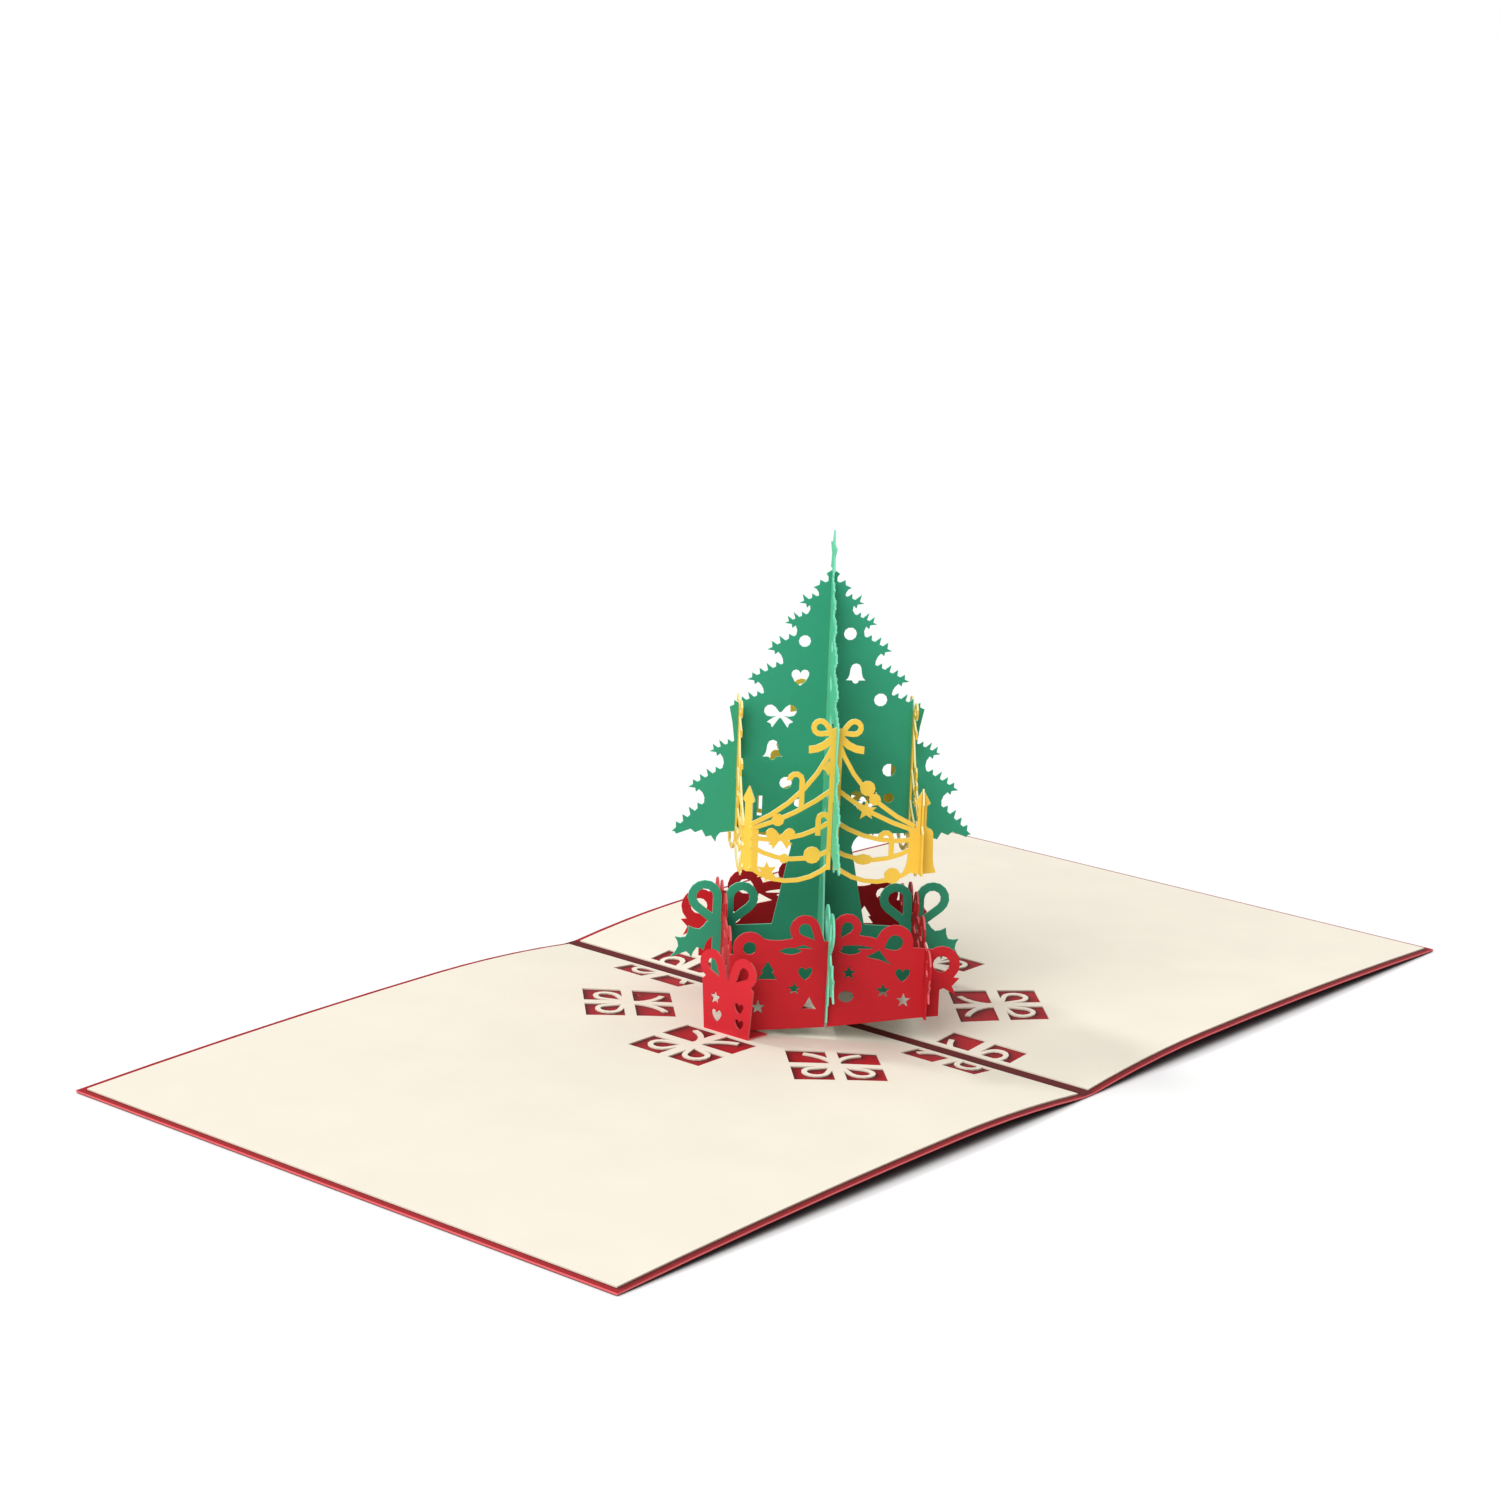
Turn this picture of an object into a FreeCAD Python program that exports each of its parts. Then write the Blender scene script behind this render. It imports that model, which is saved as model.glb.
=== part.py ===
import FreeCAD
import Part
import math
import os

# A pop up card, standing open and flat. A red cover of two square leaves carries a cream liner
# on each leaf. On the spine stands a tree of two crossed green sheets, ringed low down by two
# folded red strips cut as presents, and half way up by two folded yellow strips cut as a garland.
# X runs across the leaves, Y along the spine, Z up. The origin is the middle of the spine, on
# the plane the card lies on. Lengths are in millimetres.

V = FreeCAD.Vector

DIMENSIONS = [
    ("leaf_side", 150.0, "side of one square leaf"),
    ("card_gauge", 0.4, "thickness of the cover and of the cut sheets"),
    ("liner_gauge", 0.3, "thickness of the cream liners"),
    ("spine_width", 4.0, "flat strip between the two creases of the spine"),
    ("leaf_rise", 2.4, "height of the leaf's crest over the table"),
    ("crest_reach", 46.0, "distance of the crest from the middle of the spine"),
    ("liner_margin", 1.6, "red edge left around a liner"),
    ("window_side", 20.0, "side of a present cut in a liner"),
    ("window_circle", 42.0, "radius of the circle the presents stand on"),
    ("window_ribbon", 2.5, "width of the cross of ribbons in a present"),
    ("slit_play", 0.2, "room in a slit beside the sheet that it takes"),
    ("seat_play", 0.1, "room between the red ring and the foot below it"),
    ("tree_meet", 55.0, "height where the slits of the two tree sheets meet"),
    ("tree_lift", 2.4, "height of the tree's foot over that of the red ring"),
    ("star_radius", 4.9, "radius of the star on the tree"),
    ("fence_half", 21.5, "distance of a side of the red ring from the axis"),
    ("fence_height", 17.2, "height of the presents of the red ring"),
    ("fence_meet", 14.0, "height where the slits of tree and red ring meet"),
    ("fence_over", 3.3, "length of a red strip beyond the corner it crosses"),
    ("garland_half", 19.4, "distance of a side of the garland from the axis"),
    ("garland_foot", 39.0, "underside of the garland's tassels"),
    ("garland_meet", 48.0, "height where the slits of the two garland strips meet"),
    ("tassel_facet", 2.8, "width of the flat facet of a tassel at a garland's fold"),
    ("string_width", 0.95, "width of a garland string"),
    ("tab_width", 14.4, "width of the glued present at each side"),
    ("tab_height", 12.4, "height of that present without its bow"),
    ("tab_foot", 6.6, "depth of its glued foot"),
]

doc = FreeCAD.newDocument("pop_up_card")
dims = doc.addObject("Spreadsheet::Sheet", "dims")
for number, (alias, value, note) in enumerate(DIMENSIONS, start=1):
    dims.set("A%d" % number, note)
    dims.set("B%d" % number, str(value))
    dims.setAlias("B%d" % number, alias)
doc.recompute()


def size(alias):
    return float(getattr(dims, alias))


gauge = size("card_gauge")
liner_gauge = size("liner_gauge")
leaf_side = size("leaf_side")
leaf_rise = size("leaf_rise")
crest_reach = size("crest_reach")
spine_edge = size("spine_width") / 2
liner_margin = size("liner_margin")
slit = (gauge + size("slit_play")) / 2

# An arc in a cut outline strays from the true curve by no more than this.
cut_error = 0.085


# Flat shapes. Each is a face in the plane of its own sheet, drawn upright: across, then up.

def at(x, y):
    return V(x, y, 0)


drawing_plane = Part.Plane(V(0, 0, 0), V(0, 0, 1))


def face_in(wire):
    # The face inside a wire, always seen from the same side of the sheet.
    face = Part.Face(wire)
    if face.normalAt(0, 0).z < 0:
        turned = wire.copy()
        turned.reverse()
        wire = turned
    return Part.Face(drawing_plane, wire)


def arc_centre(start, end, rise):
    # The centre of the arc that rises to the left of its chord, and the angle that it sweeps.
    chord = end - start
    sweep = 4.0 * math.atan(2.0 * rise / chord.Length)
    left = V(-chord.y, chord.x, 0).normalize()
    radius = chord.Length / (2.0 * math.sin(sweep / 2))
    return (start + end) * 0.5 + left * (rise - radius), sweep


def arc_run(start, end, rise):
    # An arc as a blade cuts it, in short straight runs: all its points but the first.
    centre, sweep = arc_centre(start, end, rise)
    spoke = start - centre
    step = 2.0 * math.acos(1.0 - min(cut_error / spoke.Length, 0.5))
    count = max(2, math.ceil(abs(sweep) / step))
    points = []
    for index in range(1, count + 1):
        turn = FreeCAD.Rotation(V(0, 0, 1), math.degrees(-sweep * index / count))
        points.append(centre + turn.multVec(spoke))
    return points


def polygon(points):
    return face_in(Part.makePolygon(points + [points[0]]))


def outline(points):
    # A closed outline. A third number bends the stretch that leads to the point: it is the
    # rise of the arc over its chord, to the left of the way along.
    corners = []
    for index, point in enumerate(points):
        before = points[index - 1]
        start = at(before[0], before[1])
        end = at(point[0], point[1])
        if len(point) > 2:
            corners += arc_run(start, end, point[2])
        else:
            corners.append(end)
    return polygon(corners)


def box(x0, y0, x1, y1):
    return outline([(x0, y0), (x1, y0), (x1, y1), (x0, y1)])


def disc(x, y, radius):
    return outline([(x + radius, y, radius), (x - radius, y, radius)])


def star(x, y, radius, tips=5, waist=0.42, turn=90.0):
    points = []
    for step in range(2 * tips):
        reach = radius if step % 2 == 0 else radius * waist
        angle = math.radians(turn + step * 180.0 / tips)
        points.append((x + reach * math.cos(angle), y + reach * math.sin(angle)))
    return outline(points)


def heart(x, y, height):
    half = height * 0.5
    return outline([
        (x, y - half, -0.08 * height),
        (x + half, y + 0.2 * half, -0.08 * height),
        (x, y + 0.5 * half, -0.3 * height),
        (x - half, y + 0.2 * half, -0.3 * height),
    ])


def lens(x, y, width, height):
    return outline([(x + width / 2, y, -height / 2), (x - width / 2, y, -height / 2)])


def bell(x, y, height):
    unit = height / 5.0
    body = outline([
        (x + 2.3 * unit, y - 1.7 * unit),
        (x + 1.4 * unit, y - 0.4 * unit, 0.2 * unit),
        (x + 1.2 * unit, y + 1.1 * unit),
        (x - 1.2 * unit, y + 1.1 * unit, -1.1 * unit),
        (x - 1.4 * unit, y - 0.4 * unit),
        (x - 2.3 * unit, y - 1.7 * unit, 0.2 * unit),
    ])
    return union([body, disc(x, y - 1.7 * unit, 0.75 * unit)])


def bow(x, y, width):
    # A tied bow: two round loops, a knot and two tails that spread below it.
    unit = width / 7.0
    faces = [disc(x, y, 0.7 * unit)]
    for hand in (1, -1):
        root = (x - 0.4 * hand * unit, y - 0.1 * unit)
        loop = (x + 2.2 * hand * unit, y + 1.0 * unit)
        faces.append(drop(root, loop, 1.35 * unit))
        faces.append(outline([
            (x - 0.3 * hand * unit, y + 0.2 * unit),
            (x + 2.9 * hand * unit, y - 1.5 * unit, 0.25 * hand * unit),
            (x + 2.0 * hand * unit, y - 1.9 * unit),
            (x + 1.7 * hand * unit, y - 2.8 * unit),
            (x + 0.1 * hand * unit, y - 0.5 * unit),
        ]))
    return union(faces)


def band(start, end, rise, width):
    # A strip of even width along an arc, or along a line where the rise is nought.
    p = at(*start)
    q = at(*end)
    half = width / 2
    if rise == 0.0:
        left = V(p.y - q.y, q.x - p.x, 0).normalize()
        return polygon([p - left * half, q - left * half, q + left * half, p + left * half])
    centre, sweep = arc_centre(p, q, rise)
    outer = []
    inner = []
    for point in [p] + arc_run(p, q, rise):
        spoke = (point - centre).normalize()
        outer.append(point + spoke * half)
        inner.insert(0, point - spoke * half)
    return polygon(outer + inner)


def drop(root, centre, radius):
    # A drop shape: a round end, and two straight sides that meet at the root.
    r = at(*root)
    c = at(*centre)
    way = c - r
    heading = math.atan2(way.y, way.x)
    spread = math.asin(radius / way.Length)
    side = math.sqrt(way.Length ** 2 - radius ** 2)
    first = r + V(math.cos(heading - spread), math.sin(heading - spread), 0) * side
    last = r + V(math.cos(heading + spread), math.sin(heading + spread), 0) * side
    return polygon([r, first] + arc_run(first, last, -radius * (1.0 + math.sin(spread))))


def drop_hole(root, centre, radius, width):
    # The opening of a bow's loop whose strip has the width given.
    r = at(*root)
    c = at(*centre)
    way = c - r
    inset = width * way.Length / radius
    inner = r + way.normalize() * inset
    return drop((inner.x, inner.y), centre, radius - width)


def union(shapes):
    faces = [face for shape in shapes for face in shape.Faces]
    return faces[0].multiFuse(faces[1:]).removeSplitter()


def without(face, openings):
    return face.cut(Part.makeCompound(openings))


def one_piece(label, face):
    # A sheet is cut in one piece, so its face must hang together.
    if len(face.Faces) != 1:
        loose = sorted(face.Faces, key=lambda part: part.Area)[:-1]
        places = [(round(part.CenterOfMass.x, 1), round(part.CenterOfMass.y, 1)) for part in loose]
        raise RuntimeError("%s has loose pieces at %s" % (label, places))
    if not face.isValid():
        raise RuntimeError("%s has an outline that crosses itself" % label)
    return face


def flipped(shape):
    turned = shape.mirror(V(0, 0, 0), V(1, 0, 0))
    faces = []
    for face in turned.Faces:
        rim = face.OuterWire
        holes = [face_in(wire) for wire in face.Wires if not wire.isSame(rim)]
        faces.append(face_in(rim).cut(Part.makeCompound(holes)) if holes else face_in(rim))
    return faces[0] if len(faces) == 1 else Part.makeCompound(faces)


def both_hands(shape):
    return [shape, flipped(shape)]


# Document objects.

def curve_of(edge):
    # The line or arc of an edge, turned so that an arc runs counter-clockwise.
    first = edge.Vertexes[0].Point
    last = edge.Vertexes[-1].Point
    curve = edge.Curve
    if not hasattr(curve, "Radius"):
        return Part.LineSegment(first, last)
    circle = Part.Circle(curve.Center, V(0, 0, 1), curve.Radius)
    low, high = edge.ParameterRange
    middle = edge.valueAt((low + high) / 2)
    angles = []
    for point in (first, middle, last):
        angles.append(math.atan2(point.y - curve.Center.y, point.x - curve.Center.x))
    turn = 2 * math.pi
    start, halfway, finish = angles
    if (halfway - start) % turn > (finish - start) % turn:
        start, finish = finish, start
    return Part.ArcOfCircle(circle, start, start + (finish - start) % turn)


def sketch(body, name, role, shape, offset=None):
    plane = [item for item in body.Origin.OriginFeatures if item.Role == role][0]
    drawing = body.newObject("Sketcher::SketchObject", name)
    drawing.AttachmentSupport = [(plane, "")]
    drawing.MapMode = "FlatFace"
    if offset:
        drawing.setExpression("AttachmentOffset.Base.z", offset)
    drawing.addGeometry([curve_of(edge) for edge in shape.Edges], False)
    return drawing


def feature(body, kind, name, drawing, length):
    item = body.newObject("PartDesign::" + kind, name)
    item.Profile = drawing
    item.SideType = "Symmetric"
    item.setExpression("Length", length)
    body.Tip = item
    return item


def new_body(label, turn=0.0):
    body = doc.addObject("PartDesign::Body", label)
    body.Label = label
    body.Placement = FreeCAD.Placement(V(0, 0, 0), FreeCAD.Rotation(V(0, 0, 1), turn))
    return body


# The leaves. From the crease a leaf springs up in a shallow arc to its crest, then sinks in a
# longer arc to the table at its outer edge.

rise_reach = crest_reach - spine_edge
fall_reach = leaf_side - crest_reach
rise_radius = (rise_reach ** 2 + leaf_rise ** 2) / (2 * leaf_rise)
fall_radius = (fall_reach ** 2 + leaf_rise ** 2) / (2 * leaf_rise)


def leaf_height(x):
    radius = rise_radius if x < crest_reach else fall_radius
    return leaf_rise - radius + math.sqrt(radius ** 2 - (x - crest_reach) ** 2)


def leaf_edges(x0, x1, lift, hand):
    # The run of a leaf's face from x0 to x1, lifted, on the right (1) or left (-1) hand.
    stops = [x0, crest_reach, x1] if x0 < crest_reach < x1 else [x0, x1]
    edges = []
    for start, end in zip(stops[:-1], stops[1:]):
        points = []
        for x in (start, (start + end) / 2, end):
            points.append(at(hand * x, leaf_height(x) + lift))
        edges.append(Part.Arc(*points).toShape())
    return edges


def joined(points):
    return Part.LineSegment(points[0], points[1]).toShape()


def sheet_section(x0, x1, low, high, hand):
    edges = leaf_edges(x0, x1, low, hand) + leaf_edges(x0, x1, high, hand)
    for x in (x0, x1):
        foot = at(hand * x, leaf_height(x) + low)
        edges.append(joined([foot, at(hand * x, leaf_height(x) + high)]))
    return edges


# The cover: one folded sheet, with plain motifs cut right through the left leaf, which is the
# front of the closed card. The liner behind shows in them.

cover_edges = []
for hand in (1, -1):
    for lift in (0.0, gauge):
        cover_edges += leaf_edges(spine_edge, leaf_side, lift, hand)
    outer = hand * leaf_side
    cover_edges.append(joined([at(outer, 0.0), at(outer, gauge)]))
for lift in (0.0, gauge):
    cover_edges.append(joined([at(-spine_edge, lift), at(spine_edge, lift)]))

cover = new_body("cover")
cover_sketch = sketch(cover, "cover_section", "XZ_Plane", Part.makeCompound(cover_edges))
feature(cover, "Pad", "cover_sheet", cover_sketch, "dims.leaf_side")

front = -leaf_side / 2
motifs = []
for tier in range(5):
    # A plain tree of five chevrons, its point towards the spine's far end.
    spread = 8.0 + 6.5 * tier
    tip = 44.0 - 15.0 * tier
    drop_down = 0.55 * spread
    motifs.append(outline([
        (front, tip),
        (front + spread, tip - drop_down),
        (front + spread, tip - drop_down - 2.4),
        (front, tip - 3.4),
        (front - spread, tip - drop_down - 2.4),
        (front - spread, tip - drop_down),
    ]))
motifs.append(star(front, 53.0, 5.0))
SPARKLES = [
    # across from the middle of the leaf, along the spine, radius
    (-42.0, 40.0, 3.0),
    (52.0, 34.0, 2.4),
    (-55.0, 8.0, 2.4),
    (48.0, 2.0, 3.0),
    (-30.0, 58.0, 2.0),
    (34.0, 58.0, 2.4),
]
for x, y, radius in SPARKLES:
    motifs.append(star(front + x, y, radius, 4, 0.3))
motif_sketch = sketch(cover, "cover_motifs", "XY_Plane", Part.makeCompound(motifs))
feature(cover, "Pocket", "cover_openings", motif_sketch, "dims.leaf_rise * 8")

# The liners, each with presents cut through it: eight on a circle around the tree, the ones on
# the spine shared by both. A present is four windows between a cross of ribbons. A bow's two
# loops fill the outer windows, and its tails the inner ones.

present_half = size("window_side") / 2
ribbon_half = size("window_ribbon") / 2
circle = size("window_circle")
loop_root = (0.0, 0.0)
loop_centre = (4.9, 4.7)
loop_radius = 3.1
loop_strip = 1.15


def present_windows(inner_edge):
    # One hand of a present, standing upright, its left edge at the inner edge given.
    upper = box(inner_edge, ribbon_half, present_half, present_half)
    lower = box(inner_edge, -present_half, present_half, -ribbon_half)
    loop = drop(loop_root, loop_centre, loop_radius)
    hole = drop_hole(loop_root, loop_centre, loop_radius, loop_strip)
    tail = band((0.0, 0.0), (6.2, -7.9), -1.5, 1.3)
    return [upper.cut(loop), hole.common(upper), lower.cut(tail)]


def windows_for(hand):
    cuts = []
    for step in range(8):
        angle = step * 45.0
        x = circle * math.cos(math.radians(angle))
        y = circle * math.sin(math.radians(angle))
        place = FreeCAD.Placement(at(x, y), FreeCAD.Rotation(V(0, 0, 1), angle - 90.0))
        if abs(x) < 1.0:
            # On the spine only the half of this liner is cut, inside its own edge strip.
            faces = present_windows(spine_edge + 1.2)
            if (hand > 0) != (y > 0):
                faces = [flipped(face) for face in faces]
        elif x * hand > 0:
            faces = present_windows(ribbon_half)
            faces = faces + [flipped(face) for face in faces]
        else:
            continue
        for face in faces:
            moved = face.copy()
            moved.Placement = place.multiply(moved.Placement)
            cuts.append(moved)
    return cuts


def add_liner(label, hand):
    body = new_body(label)
    section = sheet_section(spine_edge, leaf_side - liner_margin, gauge, gauge + liner_gauge, hand)
    drawing = sketch(body, label + "_section", "XZ_Plane", Part.makeCompound(section))
    feature(body, "Pad", label + "_sheet", drawing, "dims.leaf_side - 2 * dims.liner_margin")
    cuts = sketch(body, label + "_presents", "XY_Plane", Part.makeCompound(windows_for(hand)))
    feature(body, "Pocket", label + "_windows", cuts, "dims.leaf_rise * 8")
    return body


liner_left = add_liner("liner_left", -1)
liner_right = add_liner("liner_right", 1)

# The tree. Half its outline, from the axis outwards: each tier has a valley, an upper edge set
# with needles, and a tip. The underside of a branch sweeps back in an arc to the next valley.

tree_meet = size("tree_meet")
fence_half = size("fence_half")
fence_meet = size("fence_meet")
garland_half = size("garland_half")
garland_foot = size("garland_foot")
garland_meet = size("garland_meet")

# The red ring stands on the feet of the glued presents, and the tree hangs a little over it.
tab_plane = (fence_half + gauge / 2) * math.sqrt(2.0) + gauge / 2
tab_reach = tab_plane + gauge / 2
seat = leaf_height(tab_reach) + gauge + liner_gauge
fence_foot = seat + gauge + size("seat_play")
fence_top = fence_foot + size("fence_height")
tree_foot = fence_foot + size("tree_lift")

TIERS = [
    # valley, then tip, then needles on the edge between, then how hollow the branch is below;
    # the garland's slit ends just inside one tier, which keeps its hold outside the slit
    ((1.0, 99.9), (4.2, 98.5), 1, 0.16),
    ((2.9, 96.7), (7.2, 95.0), 2, 0.16),
    ((5.2, 92.6), (10.2, 90.4), 3, 0.16),
    ((7.6, 87.7), (13.8, 84.4), 3, 0.14),
    ((10.2, 81.3), (18.0, 77.6), 4, 0.12),
    ((14.2, 74.6), (garland_half + 2.3, 71.4), 4, 0.12),
    ((garland_half + 1.0, 63.6), (25.8, 61.2), 3, 0.02),
    ((22.8, 57.4), (30.2, 53.0), 4, 0.16),
    ((26.6, 49.4), (33.6, 42.8), 4, 0.16),
]
needle = 1.25


def needled_edge(valley, tip, count):
    # The upper edge from valley to tip, with needles that point up and outwards.
    run = (at(*tip) - at(*valley)) / (count + 0.5)
    lean = V(0.6, 0.8, 0)
    points = []
    for index in range(count):
        foot = at(*valley) + run * (index + 0.3)
        heel = foot + run * 0.6
        length = needle * (0.8 + 0.25 * ((index * 2) % 3))
        point = foot + run * 0.25 + lean * length
        points += [(foot.x, foot.y), (point.x, point.y), (heel.x, heel.y)]
    return points


def half_tree():
    tip = (1.5, 101.6)
    points = [(0.0, 102.6), tip]
    for valley, next_tip, count, hollow in TIERS:
        # A branch ends in a short needle below its tip, and its underside is hollow.
        if tip[0] > 5.0 and hollow > 0.1:
            points += [(tip[0] - 1.5, tip[1] - 0.2), (tip[0] - 1.7, tip[1] - 1.1)]
            points.append((tip[0] - 2.4, tip[1] - 0.5))
        before = points[-1]
        length = (at(*valley) - at(*before)).Length
        points.append((valley[0], valley[1], -hollow * length))
        tip = next_tip
        points += needled_edge(valley, tip, count)
        points.append(tip)
    points += [
        (32.6, 42.2, -0.3),
        (29.4, 43.4),
        (28.4, 42.6),
        (26.9, 43.2),
        (26.0, 41.6),
        (24.8, 41.9),
        (23.8, 40.4),
        (22.8, 42.6, -0.3),
        (20.0, 43.0),
        (9.0, 42.6),
        (6.8, 39.6, -0.5),
        (10.4, fence_top + 1.0),
        (fence_half - 2.0, fence_top + 0.6),
        (fence_half - 2.0, tree_foot),
        (0.0, tree_foot),
    ]
    return outline(points)


def tree_bow():
    # Where the tree crosses the red ring it carries a bow: a loop on either side of the slit,
    # a ribbon outside the ring, and a leaf of holly on that ribbon.
    inside = (fence_half - 0.5, fence_top - 0.6)
    outside = (fence_half + 0.5, fence_top - 0.6)
    inner_loop = (fence_half - 4.1, fence_top + 7.0)
    outer_loop = (fence_half + 4.2, fence_top + 7.2)
    solid = [
        box(fence_half - 3.0, tree_foot, fence_half + 1.0, fence_top + 1.6),
        box(fence_half - 0.5, fence_meet - 4.0, fence_half + 2.2, fence_top + 1.6),
        drop(inside, inner_loop, 3.7),
        drop(outside, outer_loop, 3.8),
        outline([
            (fence_half + 1.2, fence_top + 1.6),
            (fence_half + 1.2, fence_top - 1.4),
            (fence_half + 3.4, fence_top - 3.2, 0.2),
            (fence_half + 4.0, fence_top - 5.4, 0.15),
            (fence_half + 5.6, fence_top - 4.6, 0.15),
            (fence_half + 6.8, fence_top - 7.0, 0.2),
            (fence_half + 8.0, fence_top - 5.6, 0.15),
            (fence_half + 11.6, fence_top - 7.0),
            (fence_half + 9.8, fence_top - 4.4, 0.2),
            (fence_half + 10.6, fence_top - 2.2, 0.2),
            (fence_half + 8.2, fence_top - 2.2, 0.2),
            (fence_half + 7.6, fence_top + 0.4, 0.2),
            (fence_half + 5.2, fence_top - 0.4, 0.2),
            (fence_half + 3.6, fence_top + 1.4, 0.2),
        ]),
    ]
    holes = [
        drop_hole(inside, inner_loop, 3.7, 1.9),
        drop_hole(outside, outer_loop, 3.8, 1.9),
        box(fence_half - slit, fence_meet, fence_half + slit, fence_top + 20.0),
    ]
    return solid, holes


def cane(x, y, height, hook, width):
    # A stick with a hooked top: the hook turns right where its radius is positive.
    top = y + height / 2
    return [
        band((x, y - height / 2), (x, top), 0.0, width),
        band((x, top), (x + 2 * hook, top), hook, width),
    ]


CUTS = [
    disc(-5.6, 86.4, 1.35),
    heart(-6.3, 78.2, 3.8),
    bow(-10.4, 69.6, 7.2),
    bell(-11.8, 61.8, 5.0),
    disc(-8.6, 54.2, 1.4),
    disc(-5.6, 49.6, 1.0),
    band((-14.2, 46.6), (-14.2, 51.2), 0.0, 1.1),
    disc(4.4, 88.2, 1.45),
    bell(6.0, 79.4, 5.0),
    disc(11.8, 73.4, 1.5),
    disc(14.4, 57.4, 1.5),
    bow(9.2, 50.6, 6.0),
    disc(14.6, 51.0, 1.2),
]


def tree_face():
    solid, holes = tree_bow()
    half = without(union([half_tree()] + solid), holes)
    whole = union(both_hands(half))
    notches = []
    for hand in (1, -1):
        middle = hand * garland_half
        notches.append(box(middle - slit, tree_meet, middle + slit, tree_meet + 30.0))
    return without(whole, CUTS + notches)


def add_tree(label, role, face):
    body = new_body(label, 45.0)
    drawing = sketch(body, label + "_outline", role, one_piece(label, face))
    feature(body, "Pad", label + "_sheet", drawing, "dims.card_gauge")
    return body


# One tree sheet is slit from the top and the other, which carries the star, from below.
topped = without(tree_face(), [box(-slit, tree_meet, slit, 120.0)])
star_radius = size("star_radius")
starred = union([
    tree_face(),
    star(0.0, 101.5 + star_radius, star_radius, 5, 0.45),
    box(-0.7, 100.0, 0.7, 101.5 + star_radius),
])
starred = without(starred, [box(-slit, 0.0, slit, tree_meet)])
tree_nw_se = add_tree("tree_sheet_nw_se", "YZ_Plane", flipped(topped))
tree_sw_ne = add_tree("tree_sheet_sw_ne", "XZ_Plane", starred)

# The red ring: two strips, each folded at one corner and slit into the other's ends. A side is
# drawn from its fold, at the left, to the end that crosses the other strip.


def fence_face(slit_from_top):
    half = fence_half
    over = half + size("fence_over")
    fold = -half - gauge / 2
    foot = fence_foot
    row = fence_foot + 1.0
    top = fence_top
    left_root = (-0.2, top + 0.8)
    right_root = (0.2, top + 0.8)
    end_root = (half - 12.4, top + 0.4)
    left_loop = (-5.4, top + 6.2)
    right_loop = (3.9, top + 6.8)
    end_loop = (half - 7.0, top + 3.4)
    solid = [
        # the wall of presents, whose underside rises to the end that crosses over the spine
        outline([
            (fold, foot),
            (0.0, foot + 1.2),
            (half, foot + 3.6),
            (over, foot + 3.9),
            (over, top + 1.8),
            (half - 3.4, top + 2.4),
            (half - 4.0, top + 0.4),
            (fold, top + 0.4),
        ]),
        disc(-half + 4.1, top + 1.9, 3.7),
        band((-half + 5.8, top + 3.2), (-5.6, top + 4.0), -1.0, 2.2),
        box(-half + 4.0, top - 1.0, -1.0, top + 1.9),
        drop(left_root, left_loop, 3.3),
        drop(right_root, right_loop, 3.1),
        box(-2.8, top - 1.0, 2.8, top + 3.6),
        band((1.4, top + 3.4), (half - 10.0, top + 2.8), 0.8, 2.2),
        box(1.0, top - 1.0, half - 7.0, top + 1.9),
        drop(end_root, end_loop, 4.1),
        disc(over + 0.2, top - 1.4, 4.1),
        outline([
            (half + 1.0, top - 4.0),
            (half + 1.0, top - 8.0),
            (half + 4.2, top - 6.9),
            (half + 7.0, top - 8.4),
            (half + 6.0, top - 6.4),
            (half + 7.6, top - 4.6),
        ]),
    ]
    holes = [
        disc(-half + 4.1, top + 1.9, 1.5),
        drop_hole(left_root, left_loop, 3.3, 1.85),
        drop_hole(right_root, right_loop, 3.1, 1.8),
        drop_hole(end_root, end_loop, 4.1, 2.3),
        disc(over + 0.2, top - 1.4, 1.9),
        lens(-8.4, top + 1.3, 5.2, 1.7),
        lens(4.7, top + 1.4, 5.2, 1.7),
        outline([
            (half - 13.4, top + 0.1),
            (half - 7.0, top - 1.9, 0.3),
            (half - 9.4, top + 0.5, 0.3),
            (half - 10.2, top + 1.8, 0.2),
        ]),
        star(-half + 6.4, row + 4.6, 1.75),
        star(-half + 14.2, row + 8.9, 1.6),
        star(-3.9, row + 5.2, 1.9, 3, 0.45),
        heart(-5.0, row + 12.4, 3.1),
        # a little tree
        outline([
            (-half + 6.0, row + 11.0),
            (-half + 10.4, row + 11.0),
            (-half + 9.2, row + 12.7),
            (-half + 9.8, row + 12.7),
            (-half + 8.2, row + 15.2),
            (-half + 6.6, row + 12.7),
            (-half + 7.2, row + 12.7),
        ]),
        star(4.6, row + 12.6, 1.75),
        lens(4.2, row + 7.2, 3.6, 2.8),
        star(half - 9.2, row + 8.6, 1.8),
        heart(half - 5.0, row + 12.2, 3.2),
        star(half - 4.6, row + 6.4, 1.75),
        box(-slit, 0.0, slit, fence_meet),
    ]
    if slit_from_top:
        holes.append(box(half - slit, fence_meet, half + slit, top + 10.0))
    else:
        holes.append(box(half - slit, 0.0, half + slit, fence_meet))
    return without(union(solid), holes)


# The garland: a bow at the middle of each side, five strings that sag from there to a tassel at
# each corner, and small ornaments on the strings. Heights are taken from the tassels' underside.

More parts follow.
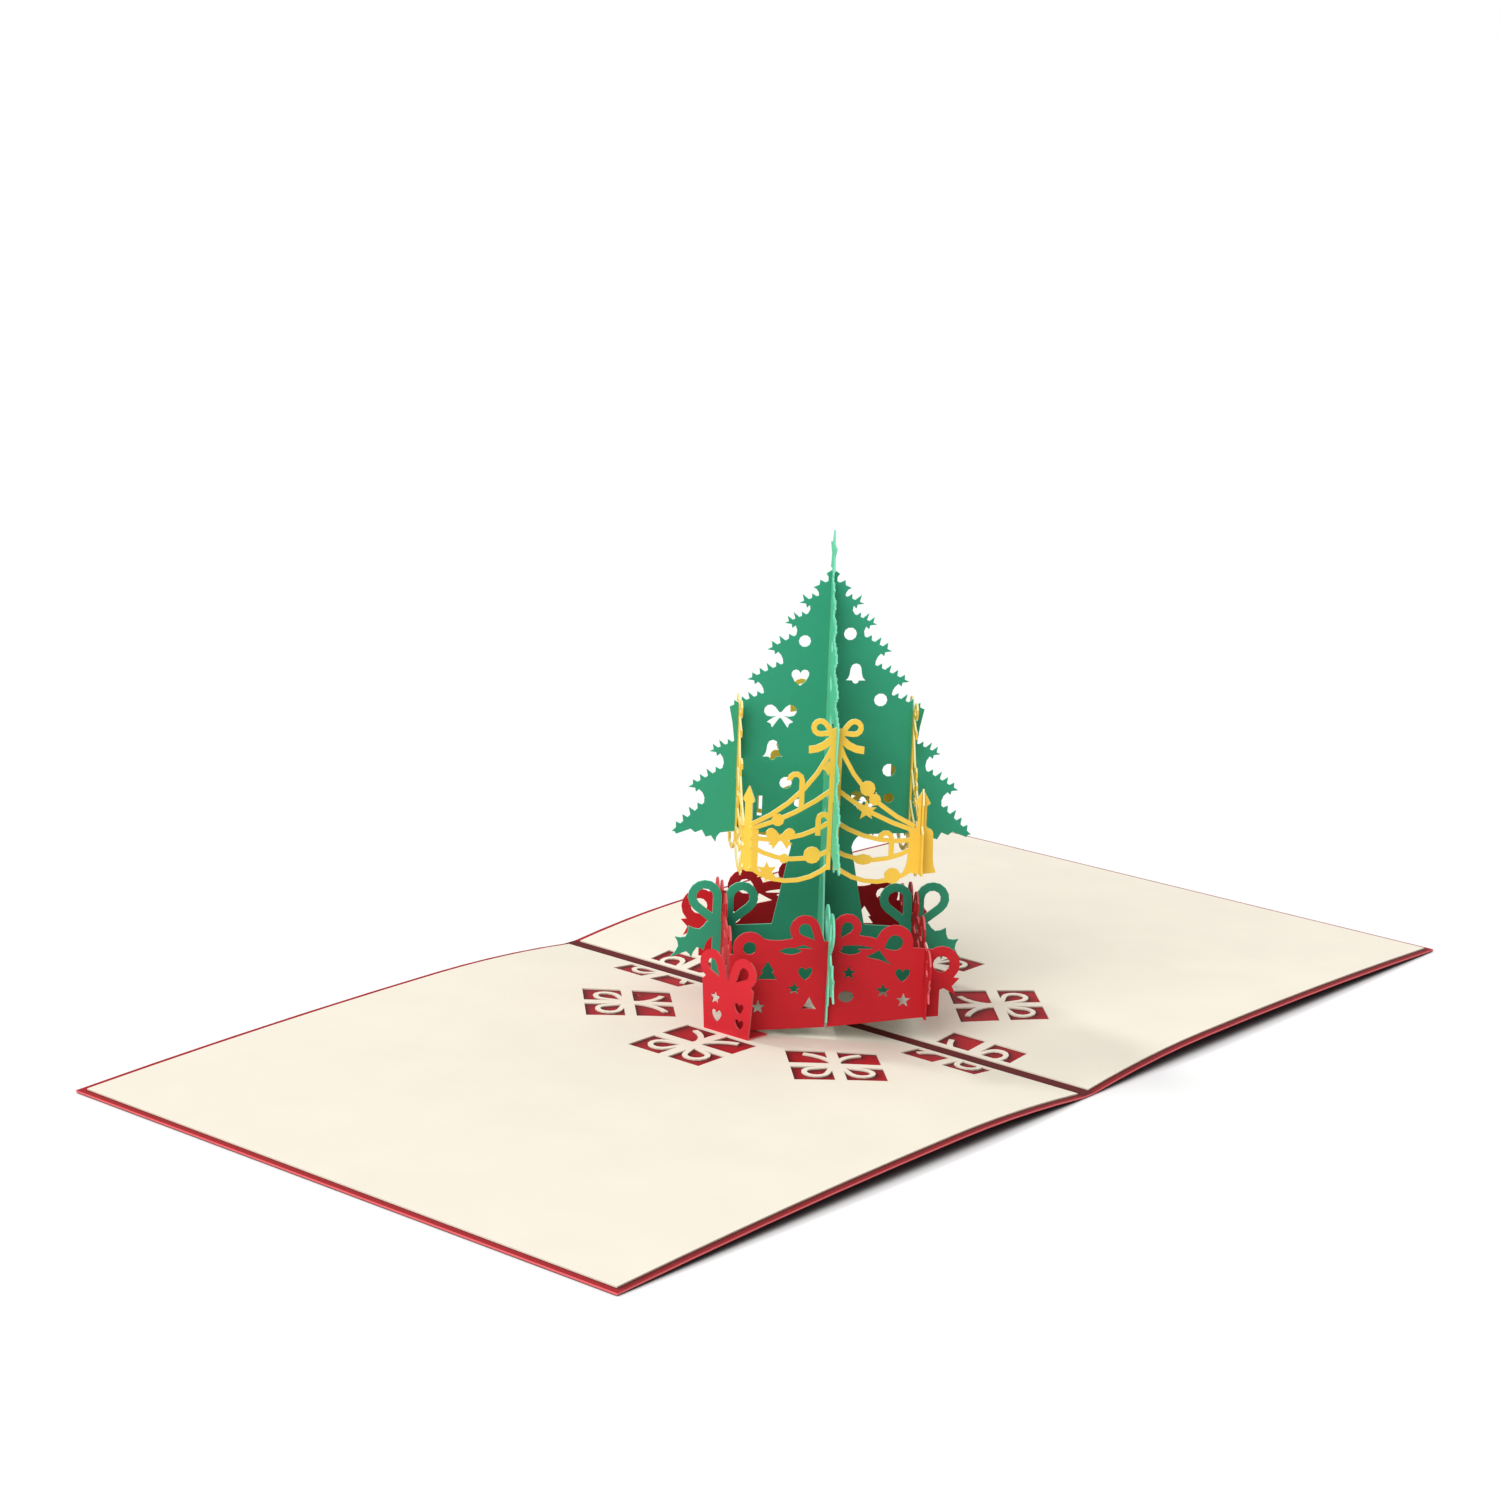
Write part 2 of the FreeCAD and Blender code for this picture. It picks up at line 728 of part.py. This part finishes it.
STRINGS = [
    # height at the middle of the side, height at the tassel, rise of the arc
    (30.6, 10.8, -2.9),
    (19.2, 9.8, -1.0),
    (12.0, 7.8, -1.9),
    (5.4, 6.0, -2.6),
    (2.4, 1.2, -3.6),
]
tassel_facet = size("tassel_facet")
facet_cut = tassel_facet / math.sqrt(2.0)


def string_ends(number, hand):
    middle, end, rise = STRINGS[number]
    start = (0.0, garland_foot + middle)
    return start, (hand * (garland_half - 1.5), garland_foot + end), rise * hand


def on_string(number, hand, share):
    # The point at a share of the way along a string, from the middle of the side.
    start, end, rise = string_ends(number, hand)
    p = at(*start)
    q = at(*end)
    along = (q - p).normalize()
    left = V(-along.y, along.x, 0)
    bend = rise * (1.0 - (2.0 * share - 1.0) ** 2)
    point = p + (q - p) * share + left * bend
    return point.x, point.y


def tassel_half(reach):
    # One hand of a tassel: a skirt that spreads downwards, a knot, and a rod with a pointed head.
    foot = garland_foot
    return [
        (0.0, foot),
        (reach, foot + 0.4),
        (reach - 0.8, foot + 3.4, 0.15),
        (reach - 1.0, foot + 9.0),
        (1.4, foot + 10.4, -0.4),
        (0.95, foot + 11.0),
        (0.95, foot + 15.4),
        (1.7, foot + 16.0),
        (0.0, foot + 19.2),
    ]


def garland_face(slit_from_top):
    half = garland_half
    foot = garland_foot
    width = size("string_width")
    tassel = tassel_half(3.6)
    skirt = outline(tassel)
    skirt = union([skirt, flipped(skirt)])
    near = skirt.copy()
    near.translate(V(-half, 0, 0))
    far = skirt.copy()
    far.translate(V(half, 0, 0))
    # the side begins at its fold, where the tassel's facet ends
    fold = -half + facet_cut
    near = near.common(box(fold - gauge / 2, 0.0, 0.0, foot + 10.4))
    near = union([near, box(fold - gauge / 2, foot + 0.3, fold + 1.2, foot + 9.6)])
    solid = [
        box(-1.25, foot + 0.8, 1.25, foot + 31.2),
        disc(0.0, foot + 31.3, 1.35),
        near,
        far,
    ]
    for hand in (1, -1):
        solid.append(drop((0.0, foot + 31.0), (3.7 * hand, foot + 32.6), 2.0))
        solid.append(band((0.3 * hand, foot + 31.2), (6.0 * hand, foot + 27.6), 0.9 * -hand, 1.6))
        for number in range(len(STRINGS)):
            start, end, rise = string_ends(number, hand)
            solid.append(band(start, end, rise, width))
    # ornaments on the strings towards the fold
    x, y = on_string(0, -1, 0.52)
    solid += cane(x, y - 0.6, 6.0, -1.4, 1.15)
    x, y = on_string(1, -1, 0.7)
    solid.append(disc(x, y, 1.4))
    x, y = on_string(2, -1, 0.66)
    solid.append(bow(x, y + 0.3, 6.4))
    x, y = on_string(3, -1, 0.24)
    solid.append(disc(x, y + 0.4, 1.9))
    x, y = on_string(3, -1, 0.58)
    solid.append(disc(x, y, 1.1))
    x, y = on_string(4, -1, 0.8)
    solid.append(star(x, y + 1.0, 2.3, 6, 0.5))
    x, y = on_string(2, -1, 0.2)
    solid += cane(x, y + 0.3, 3.6, 1.15, 1.15)
    solid.append(star(-1.6, foot + 23.6, 1.7, 4, 0.5))
    # and on those towards the end that crosses
    x, y = on_string(0, 1, 0.52)
    solid += [disc(x, y + 0.8, 1.7), disc(x + 1.7, y - 1.7, 1.3)]
    x, y = on_string(1, 1, 0.42)
    solid.append(star(x, y - 0.2, 2.3))
    x, y = on_string(3, 1, 0.72)
    solid += cane(x, y + 2.0, 4.4, -1.3, 1.15)
    x, y = on_string(3, 1, 0.38)
    solid.append(lens(x, y, 5.0, 2.4))
    x, y = on_string(4, 1, 0.76)
    solid.append(disc(x, y + 0.7, 1.8))
    holes = [box(-slit, 0.0, slit, tree_meet)]
    for hand in (1, -1):
        holes.append(drop_hole((0.0, foot + 31.0), (3.7 * hand, foot + 32.6), 2.0, 1.1))
    if slit_from_top:
        holes.append(box(half - slit, garland_meet, half + slit, foot + 40.0))
    else:
        holes.append(box(half - slit, 0.0, half + slit, garland_meet))
    return without(union(solid), holes)


def add_ring(label, face, distance, turn):
    # A strip folded at its west corner: one side runs to the south, the other to the north.
    body = new_body(label, 45.0 + turn)
    face = one_piece(label, face)
    south = sketch(body, label + "_south", "YZ_Plane", flipped(face), "-" + distance)
    feature(body, "Pad", label + "_side_a", south, "dims.card_gauge")
    north = sketch(body, label + "_north", "XZ_Plane", face, "-" + distance)
    feature(body, "Pad", label + "_side_b", north, "dims.card_gauge")
    return body


def add_facet(body, label, turn):
    # The facet of a garland's tassel, flat across the corner between the two sides.
    reach = tassel_facet / 2 + 0.1
    points = tassel_half(reach + 0.5)
    points[1] = (reach + 0.5, garland_foot + 0.4)
    face = outline(points)
    face = union([face, flipped(face)])
    face = union([face, box(-reach, garland_foot + 0.3, reach, garland_foot + 9.6)])
    face = face.common(box(-reach, 0.0, reach, 200.0))
    drawing = sketch(body, label + "_facet_outline", "YZ_Plane", face)
    depth = garland_half * math.sqrt(2.0) - tassel_facet / 2
    offset = V(depth * math.sqrt(0.5), 0, -depth * math.sqrt(0.5))
    drawing.AttachmentOffset = FreeCAD.Placement(offset, FreeCAD.Rotation(V(0, 1, 0), 135.0))
    feature(body, "Pad", label + "_facet", drawing, "dims.card_gauge")


fence_west = add_ring("fence_west", fence_face(True), "dims.fence_half", 0.0)
fence_east = add_ring("fence_east", fence_face(False), "dims.fence_half", 180.0)
garland_west = add_ring("garland_west", garland_face(True), "dims.garland_half", 0.0)
garland_east = add_ring("garland_east", garland_face(False), "dims.garland_half", 180.0)
add_facet(garland_west, "garland_west", 0.0)
add_facet(garland_east, "garland_east", 180.0)

# The presents at the west and the east: an upright face against the fold of the red ring, on a
# foot glued to the liner. They pull the ring square as the card opens.

tab_half = size("tab_width") / 2
tab_top = seat + size("tab_height")


def tab_face():
    left_root = (1.0, tab_top - 3.6)
    right_root = (-1.0, tab_top - 3.6)
    left_loop = (-4.5, tab_top + 2.4)
    right_loop = (4.6, tab_top + 2.6)
    solid = [
        # a present that is a little narrower at its foot
        outline([
            (-tab_half + 0.9, seat),
            (tab_half - 0.9, seat),
            (tab_half, tab_top - 1.2),
            (tab_half - 1.2, tab_top),
            (-tab_half + 1.2, tab_top),
            (-tab_half, tab_top - 1.2),
        ]),
        drop(left_root, left_loop, 3.4),
        drop(right_root, right_loop, 3.4),
    ]
    holes = [
        drop_hole(left_root, left_loop, 3.4, 2.0),
        drop_hole(right_root, right_loop, 3.4, 2.0),
        star(3.4, seat + 7.6, 1.8),
        heart(2.9, seat + 3.6, 2.9),
        heart(-3.4, seat + 6.6, 2.6),
        heart(-3.6, seat + 3.0, 2.5),
    ]
    return without(union(solid), holes)


def add_tab(label, turn):
    body = new_body(label, turn)
    face = sketch(body, label + "_face", "YZ_Plane", tab_face())
    face.AttachmentOffset = FreeCAD.Placement(V(0, 0, -tab_plane), FreeCAD.Rotation())
    feature(body, "Pad", label + "_upright", face, "dims.card_gauge")
    lift = gauge + liner_gauge
    section = sheet_section(tab_reach - size("tab_foot"), tab_reach, lift, lift + gauge, -1)
    foot = sketch(body, label + "_foot_section", "XZ_Plane", Part.makeCompound(section))
    feature(body, "Pad", label + "_foot", foot, "dims.tab_width - 1.8")
    return body


gift_tab_west = add_tab("gift_tab_west", 0.0)
gift_tab_east = add_tab("gift_tab_east", 180.0)

doc.recompute()

pieces = [
    cover,
    liner_left,
    liner_right,
    tree_nw_se,
    tree_sw_ne,
    fence_west,
    fence_east,
    garland_west,
    garland_east,
    gift_tab_west,
    gift_tab_east,
]

for item in doc.Objects:
    state = item.State
    if "Invalid" in state or "Error" in state:
        raise RuntimeError("%s did not build: %s" % (item.Name, state))

os.makedirs("parts", exist_ok=True)
for piece in pieces:
    shape = piece.Shape
    if shape.isNull() or not shape.isValid():
        raise RuntimeError("%s has no valid shape" % piece.Label)
    if len(shape.Solids) != 1:
        raise RuntimeError("%s is %d solids" % (piece.Label, len(shape.Solids)))
for piece in pieces:
    piece.Shape.exportStep("parts/%s.step" % piece.Label)
    bounds = piece.Shape.BoundBox
    print(piece.Label, round(piece.Shape.Volume, 1), len(piece.Shape.Faces), [
        round(value, 2) for value in (
            bounds.XMin, bounds.XMax, bounds.YMin, bounds.YMax, bounds.ZMin, bounds.ZMax)
    ])
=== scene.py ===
import math

import bpy
from mathutils import Matrix, Vector

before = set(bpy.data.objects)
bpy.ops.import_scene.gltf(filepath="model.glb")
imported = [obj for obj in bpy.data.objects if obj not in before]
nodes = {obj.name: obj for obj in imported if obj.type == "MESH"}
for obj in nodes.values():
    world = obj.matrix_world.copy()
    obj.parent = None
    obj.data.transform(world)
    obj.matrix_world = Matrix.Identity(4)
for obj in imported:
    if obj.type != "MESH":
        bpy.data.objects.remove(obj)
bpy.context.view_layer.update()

scene = bpy.context.scene


# Helpers for the shader trees. A value is either another node's socket or a plain number.

def feed(tree, socket, value):
    if isinstance(value, bpy.types.NodeSocket):
        tree.links.new(value, socket)
    else:
        socket.default_value = value


def calculate(tree, operation, *values):
    node = tree.nodes.new("ShaderNodeMath")
    node.operation = operation
    for socket, value in zip(node.inputs, values):
        feed(tree, socket, value)
    return node.outputs[0]


def remap(tree, value, source, target, smooth=False):
    # One range of values laid over another, (low, high) each.
    node = tree.nodes.new("ShaderNodeMapRange")
    if smooth:
        node.interpolation_type = "SMOOTHSTEP"
    node.inputs["From Min"].default_value, node.inputs["From Max"].default_value = source
    node.inputs["To Min"].default_value, node.inputs["To Max"].default_value = target
    feed(tree, node.inputs["Value"], value)
    return node.outputs["Result"]


def noise(tree, place, scale, detail, roughness=0.5):
    node = tree.nodes.new("ShaderNodeTexNoise")
    node.inputs["Scale"].default_value = scale
    node.inputs["Detail"].default_value = detail
    node.inputs["Roughness"].default_value = roughness
    feed(tree, node.inputs["Vector"], place)
    return node.outputs["Fac"]


def mix_colour(tree, factor, low, high):
    node = tree.nodes.new("ShaderNodeMix")
    node.data_type = "RGBA"
    feed(tree, node.inputs["Factor"], factor)
    feed(tree, node.inputs[6], low)
    feed(tree, node.inputs[7], high)
    return node.outputs[2]


def hollow_shade(tree, reach, openness, darkest, towards=None):
    # Darker where something within reach stands in the way of the light. Openness gives the
    # shares of open sky at which the shade is full and at which it ends.
    near = tree.nodes.new("ShaderNodeAmbientOcclusion")
    near.samples = 12
    near.inputs["Distance"].default_value = reach
    if towards is not None:
        lean = tree.nodes.new("ShaderNodeCombineXYZ")
        for socket, value in zip(lean.inputs, towards):
            socket.default_value = value
        feed(tree, near.inputs["Normal"], lean.outputs[0])
    return remap(tree, near.outputs["AO"], openness, (darkest, 1.0), smooth=True)


# Paper: card stock of even colour with a faint mottle, fine fibres, and a cut edge of its own
# colour. Noise scales are in waves to the metre, and lengths in metres.

CLOUD_SCALE = 55.0
FIBRE_SCALE = 2600.0
FIBRE_SHARE = 0.45
GRAIN_DEPTH = 0.00003
GRAIN_STRENGTH = 0.5
SHEEN_ROUGHNESS = 0.3

# A surface whose normal is at least this close to a sheet's own direction is its face.
FACE_LIMIT = 0.93

# The strip between the two creases of the spine lies in a fold that little light reaches.
SPINE_HALF = 0.002
SPINE_SHADE = 0.3

# The windows in the liners show the cover with a shade along the sides the light comes over.
WINDOW_REACH = 0.004
WINDOW_OPENNESS = (0.6, 0.86)
WINDOW_SHADE = 0.2
WINDOW_LIGHT = (-0.21, 0.84, 0.5)


def spine_shade(tree, place):
    split = tree.nodes.new("ShaderNodeSeparateXYZ")
    feed(tree, split.inputs[0], place)
    across = calculate(tree, "ABSOLUTE", split.outputs["X"])
    crease = (SPINE_HALF * 0.7, SPINE_HALF * 1.25)
    return remap(tree, across, crease, (SPINE_SHADE, 1.0), smooth=True)


def facing(tree, normal, direction):
    # How nearly a normal lies along a direction, whichever way it points.
    dot = tree.nodes.new("ShaderNodeVectorMath")
    dot.operation = "DOT_PRODUCT"
    dot.inputs[1].default_value = direction
    feed(tree, dot.inputs[0], normal)
    return calculate(tree, "ABSOLUTE", dot.outputs["Value"])


def paper(name, face, edge, directions, mottle=0.05, roughness=0.72, gloss=0.28,
          sheen=0.0, sheen_tint=(1.0, 1.0, 1.0), under_liners=False):
    material = bpy.data.materials.new(name)
    material.use_nodes = True
    tree = material.node_tree
    bsdf = tree.nodes["Principled BSDF"]
    bsdf.inputs["Specular IOR Level"].default_value = gloss
    if sheen:
        bsdf.inputs["Sheen Weight"].default_value = sheen
        bsdf.inputs["Sheen Roughness"].default_value = SHEEN_ROUGHNESS
        bsdf.inputs["Sheen Tint"].default_value = (*sheen_tint, 1.0)

    place = tree.nodes.new("ShaderNodeTexCoord").outputs["Object"]
    cloud = noise(tree, place, CLOUD_SCALE, 3.0)
    fibre = noise(tree, place, FIBRE_SCALE, 4.0, 0.65)
    pulp = calculate(tree, "MULTIPLY_ADD", fibre, FIBRE_SHARE, cloud)

    depth = remap(tree, pulp, (0.45, 1.0), (1.0 - mottle, 1.0 + mottle))
    if under_liners:
        depth = calculate(tree, "MULTIPLY", depth, spine_shade(tree, place))
        window = hollow_shade(tree, WINDOW_REACH, WINDOW_OPENNESS, WINDOW_SHADE, WINDOW_LIGHT)
        depth = calculate(tree, "MULTIPLY", depth, window)
    tint = tree.nodes.new("ShaderNodeVectorMath")
    tint.operation = "SCALE"
    tint.inputs[0].default_value = face
    feed(tree, tint.inputs["Scale"], depth)

    normal = tree.nodes.new("ShaderNodeNewGeometry").outputs["True Normal"]
    closeness = [facing(tree, normal, direction) for direction in directions]
    nearest = closeness[0]
    for other in closeness[1:]:
        nearest = calculate(tree, "MAXIMUM", nearest, other)
    is_face = calculate(tree, "GREATER_THAN", nearest, FACE_LIMIT)
    colour = mix_colour(tree, is_face, (*edge, 1.0), tint.outputs["Vector"])
    feed(tree, bsdf.inputs["Base Color"], colour)

    rough = remap(tree, fibre, (0.3, 0.7), (roughness - 0.06, roughness + 0.08))
    feed(tree, bsdf.inputs["Roughness"], rough)

    bump = tree.nodes.new("ShaderNodeBump")
    bump.inputs["Strength"].default_value = GRAIN_STRENGTH
    bump.inputs["Distance"].default_value = GRAIN_DEPTH
    feed(tree, bump.inputs["Height"], pulp)
    feed(tree, bsdf.inputs["Normal"], bump.outputs["Normal"])
    return material


# The ways in which the sheets look.
half = math.sqrt(0.5)
NE = (half, half, 0.0)
NW = (-half, half, 0.0)
UP = (0.0, 0.0, 1.0)
ACROSS = (1.0, 0.0, 0.0)

red = (0.54, 0.012, 0.022)
red_deep = (0.54, 0.011, 0.019)
# Painted light: the gift tabs' red is a lighter copy of the cover red, standing in for the
# strong light on the tabs.
red_painted_lit = (0.62, 0.016, 0.028)
red_edge = (0.72, 0.12, 0.13)
green = (0.028, 0.34, 0.19)
green_edge = (0.22, 0.72, 0.50)
mint = (0.25, 1.0, 0.6)
yellow = (0.88, 0.56, 0.065)
yellow_edge = (0.96, 0.84, 0.42)
cream = (0.86, 0.80, 0.68)
cream_edge = (0.80, 0.70, 0.56)

red_cover = paper("red_cover", red, red_edge, [UP], mottle=0.06, roughness=0.62,
                  under_liners=True)
cream_card = paper("cream_card", cream, cream_edge, [UP], mottle=0.025, roughness=0.8)
green_across = paper("green_sheet_a", green, green_edge, [NE], mottle=0.07, gloss=0.35,
                     sheen=0.25)
green_along = paper("green_sheet_b", green, green_edge, [NW], mottle=0.07, roughness=0.6,
                    gloss=0.3, sheen=1.0, sheen_tint=mint)
red_strip = paper("red_strip", red_deep, red_edge, [NE, NW], mottle=0.06)
# The tabs take the lighter, painted-light copy of the cover red.
red_tab = paper("red_tab", red_painted_lit, red_edge, [ACROSS, UP], mottle=0.06)
yellow_strip = paper("yellow_strip", yellow, yellow_edge, [NE, NW, ACROSS], mottle=0.05)

FINISH = {
    "cover": red_cover,
    "liner_left": cream_card,
    "liner_right": cream_card,
    "tree_sheet_nw_se": green_across,
    "tree_sheet_sw_ne": green_along,
    "fence_west": red_strip,
    "fence_east": red_strip,
    "gift_tab_west": red_tab,
    "gift_tab_east": red_tab,
    "garland_west": yellow_strip,
    "garland_east": yellow_strip,
}
for name, material in FINISH.items():
    slots = nodes[name].data.materials
    if not slots:
        slots.append(material)
    for index in range(len(slots)):
        slots[index] = material


# The floor, pale and plain, a little under the card, with a contact shade close to it.

FLOOR_REACH = 6.0
FLOOR_GAP = 0.0002
CONTACT_REACH = 0.012
CONTACT_OPENNESS = (0.1, 0.75)
CONTACT_SHADE = 0.12
floor_dark = (0.06, 0.02, 0.03, 1.0)
floor_pale = (0.93, 0.93, 0.93, 1.0)

corners = [(-1, -1), (1, -1), (1, 1), (-1, 1)]
floor_mesh = bpy.data.meshes.new("floor")
floor_mesh.from_pydata(
    [(x * FLOOR_REACH, y * FLOOR_REACH, 0.0) for x, y in corners], [], [(0, 1, 2, 3)])
floor = bpy.data.objects.new("floor", floor_mesh)
floor.location.z = -FLOOR_GAP
scene.collection.objects.link(floor)

floor_paint = bpy.data.materials.new("floor_paint")
floor_paint.use_nodes = True
floor_tree = floor_paint.node_tree
floor_bsdf = floor_tree.nodes["Principled BSDF"]
contact = hollow_shade(floor_tree, CONTACT_REACH, CONTACT_OPENNESS, CONTACT_SHADE)
floor_colour = mix_colour(floor_tree, contact, floor_dark, floor_pale)
feed(floor_tree, floor_bsdf.inputs["Base Color"], floor_colour)
floor_bsdf.inputs["Roughness"].default_value = 0.9
floor_bsdf.inputs["Specular IOR Level"].default_value = 0.1
floor_mesh.materials.append(floor_paint)


# Light: a pale surround, brighter to the eye than as a lamp, a broad soft lamp from the left, a
# small one from behind that lays the tree's shadow over the spine, and a weak broad one from
# the right.

SURROUND_STRENGTH = 0.38
white = (1.0, 1.0, 1.0, 1.0)

world = bpy.data.worlds.new("studio")
scene.world = world
world.use_nodes = True
sky = world.node_tree
background = sky.nodes["Background"]
background.inputs["Color"].default_value = white
background.inputs["Strength"].default_value = SURROUND_STRENGTH
seen = sky.nodes.new("ShaderNodeBackground")
seen.inputs["Color"].default_value = white
seen.inputs["Strength"].default_value = 1.0
ray = sky.nodes.new("ShaderNodeLightPath")
choose = sky.nodes.new("ShaderNodeMixShader")
feed(sky, choose.inputs["Fac"], ray.outputs["Is Camera Ray"])
feed(sky, choose.inputs[1], background.outputs[0])
feed(sky, choose.inputs[2], seen.outputs[0])
feed(sky, sky.nodes["World Output"].inputs["Surface"], choose.outputs[0])


def sun(name, azimuth, elevation, strength, width):
    # A lamp far away, seen from the card at an azimuth and elevation in degrees. A wide one
    # is soft.
    data = bpy.data.lights.new(name, "SUN")
    data.energy = strength
    data.angle = math.radians(width)
    lamp = bpy.data.objects.new(name, data)
    around = math.radians(azimuth)
    above = math.radians(elevation)
    towards = Vector((
        math.cos(around) * math.cos(above),
        math.sin(around) * math.cos(above),
        math.sin(above),
    ))
    lamp.rotation_euler = towards.to_track_quat("Z", "Y").to_euler()
    lamp.location = towards * 2.0
    scene.collection.objects.link(lamp)


sun("key", azimuth=185.0, elevation=37.0, strength=2.2, width=55.0)
sun("back", azimuth=104.0, elevation=50.0, strength=0.75, width=7.0)
sun("right", azimuth=0.0, elevation=50.0, strength=0.6, width=60.0)


# The camera, as the photograph was taken: from the front, a little to the left of the spine.

CAMERA_AT = (-0.5753, -0.4478, 0.24096)
CAMERA_AZIMUTH = math.radians(-50.79)
CAMERA_ELEVATION = math.radians(13.86)
CAMERA_ROLL = math.radians(2.2)
FOCAL_PIXELS = 3385.79
PHOTO_PIXELS = 1500.0
SENSOR = 36.0

back = Vector((
    math.sin(CAMERA_AZIMUTH) * math.cos(CAMERA_ELEVATION),
    -math.cos(CAMERA_AZIMUTH) * math.cos(CAMERA_ELEVATION),
    math.sin(CAMERA_ELEVATION),
))
level = Vector((0.0, 0.0, 1.0)).cross(back).normalized()
upright = back.cross(level)
right = level * math.cos(CAMERA_ROLL) + upright * math.sin(CAMERA_ROLL)
up = upright * math.cos(CAMERA_ROLL) - level * math.sin(CAMERA_ROLL)

camera_data = bpy.data.cameras.new("camera")
camera_data.sensor_width = SENSOR
camera_data.sensor_fit = "HORIZONTAL"
camera_data.lens = SENSOR * FOCAL_PIXELS / PHOTO_PIXELS
camera_data.clip_start = 0.01
camera = bpy.data.objects.new("camera", camera_data)
turn = Matrix((right, up, back)).transposed().to_4x4()
camera.matrix_world = Matrix.Translation(CAMERA_AT) @ turn
scene.collection.objects.link(camera)
scene.camera = camera
scene.view_settings.view_transform = "Standard"
